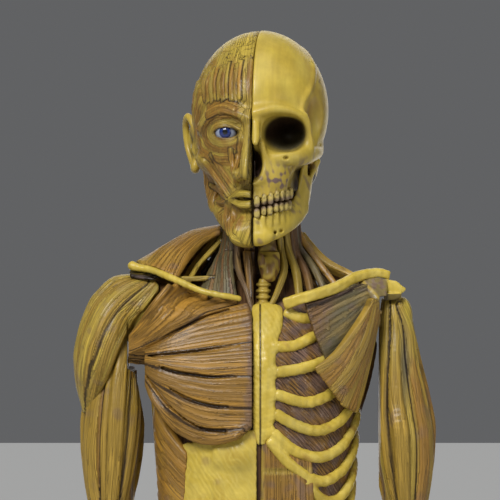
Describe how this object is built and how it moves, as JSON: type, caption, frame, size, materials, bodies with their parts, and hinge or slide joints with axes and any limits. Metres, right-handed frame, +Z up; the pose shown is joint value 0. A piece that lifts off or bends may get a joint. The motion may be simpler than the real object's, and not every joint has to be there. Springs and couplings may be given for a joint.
{
  "type": "anatomical figure",
  "caption": "Standing anatomical teaching figure on a round plinth, half muscles and half skeleton, with a turning head, an opening half jaw and swinging arms.",
  "frame": {"origin": "centre of the plinth, on the plane that its pads stand on", "axes": "+Z up along the figure, the figure faces -Y, its left side is +X"},
  "size_m": [0.19, 0.19, 0.6196],
  "materials": {
    "bone": "varnished ochre paint with dark wash in the hollows",
    "tendon": "varnished ochre paint over fine fibres",
    "muscle": "varnished orange-brown paint over fibres, dark wash in the grooves",
    "deep_muscle": "varnished brown paint over fibres, dark wash in the grooves",
    "teeth": "varnished pale ochre paint",
    "eye": "high gloss painted glass eye with a blue iris",
    "plinth_wood": "dark stained and varnished turned wood",
    "pad_rubber": "matt black rubber",
    "steel": "plain steel",
    "bush_brass": "turned brass"
  },
  "bodies": {
    "figure": {"plinth": "plinth_wood", "plinth_pads": "pad_rubber", "foot_screws": "steel", "pelvis": "deep_muscle", "torso_core": "deep_muscle", "intercostals_left": "deep_muscle", "ribs_left": "bone", "sternum": "bone", "clavicle_right": "bone", "clavicle_left": "bone", "scapula_left": "bone", "shoulder_blocks": "deep_muscle", "spine_processes": "bone", "pectoralis_major_right": "muscle", "pectoralis_minor_left": "deep_muscle", "trapezius_right": "muscle", "latissimus_right": "muscle", "scapular_muscles_right": "muscle", "scapular_muscles_left": "deep_muscle", "erector_spinae_left": "deep_muscle", "rectus_sheath_right": "tendon", "rectus_abdominis_left": "deep_muscle", "oblique_right": "muscle", "oblique_left": "deep_muscle", "gluteus_right": "muscle", "gluteus_left": "deep_muscle", "thigh_right": "muscle", "thigh_left": "deep_muscle", "patellae": "bone", "shank_right": "muscle", "shank_left": "deep_muscle", "foot_right": "tendon", "foot_left": "bone", "neck_column": "deep_muscle", "sternomastoid_right": "muscle", "scalenes_left": "deep_muscle", "larynx": "bone", "trachea": "bone", "neck_pin": "steel", "shoulder_pins": "steel"},
    "head": {"neck_bush": "bush_brass", "skull_half_left": "bone", "upper_teeth_left": "teeth", "muscle_head_right": "muscle", "ear_right": "tendon", "glass_eye_right": "eye", "jaw_pin": "steel"},
    "jaw": {"jaw_bush": "bush_brass", "mandible_left": "bone", "lower_teeth_left": "teeth"},
    "arm_right": {"deltoid_right": "muscle", "upper_arm_right": "muscle", "forearm_right": "muscle", "hand_right": "tendon", "shoulder_bush_right": "bush_brass"},
    "arm_left": {"upper_arm_left": "deep_muscle", "forearm_left": "deep_muscle", "hand_left": "bone", "shoulder_bush_left": "bush_brass"}
  },
  "joints": [
    {"name": "head_turn", "type": "hinge", "parent": "figure", "child": "head", "pos_m": [0.002, 0.008, 0.549], "axis": [0, 0, 1], "range_deg": [-25, 25]},
    {"name": "jaw_open", "type": "hinge", "parent": "head", "child": "jaw", "pos_m": [0.02336, 0.00073, 0.561], "axis": [0.9945, -0.1045, 0], "range_deg": [0, 10]},
    {"name": "shoulder_right", "type": "hinge", "parent": "figure", "child": "arm_right", "pos_m": [-0.063, 0.002, 0.495], "axis": [-1, 0, 0], "range_deg": [-20, 60]},
    {"name": "shoulder_left", "type": "hinge", "parent": "figure", "child": "arm_left", "pos_m": [0.063, 0.002, 0.49], "axis": [-1, 0, 0], "range_deg": [-20, 60]}
  ]
}
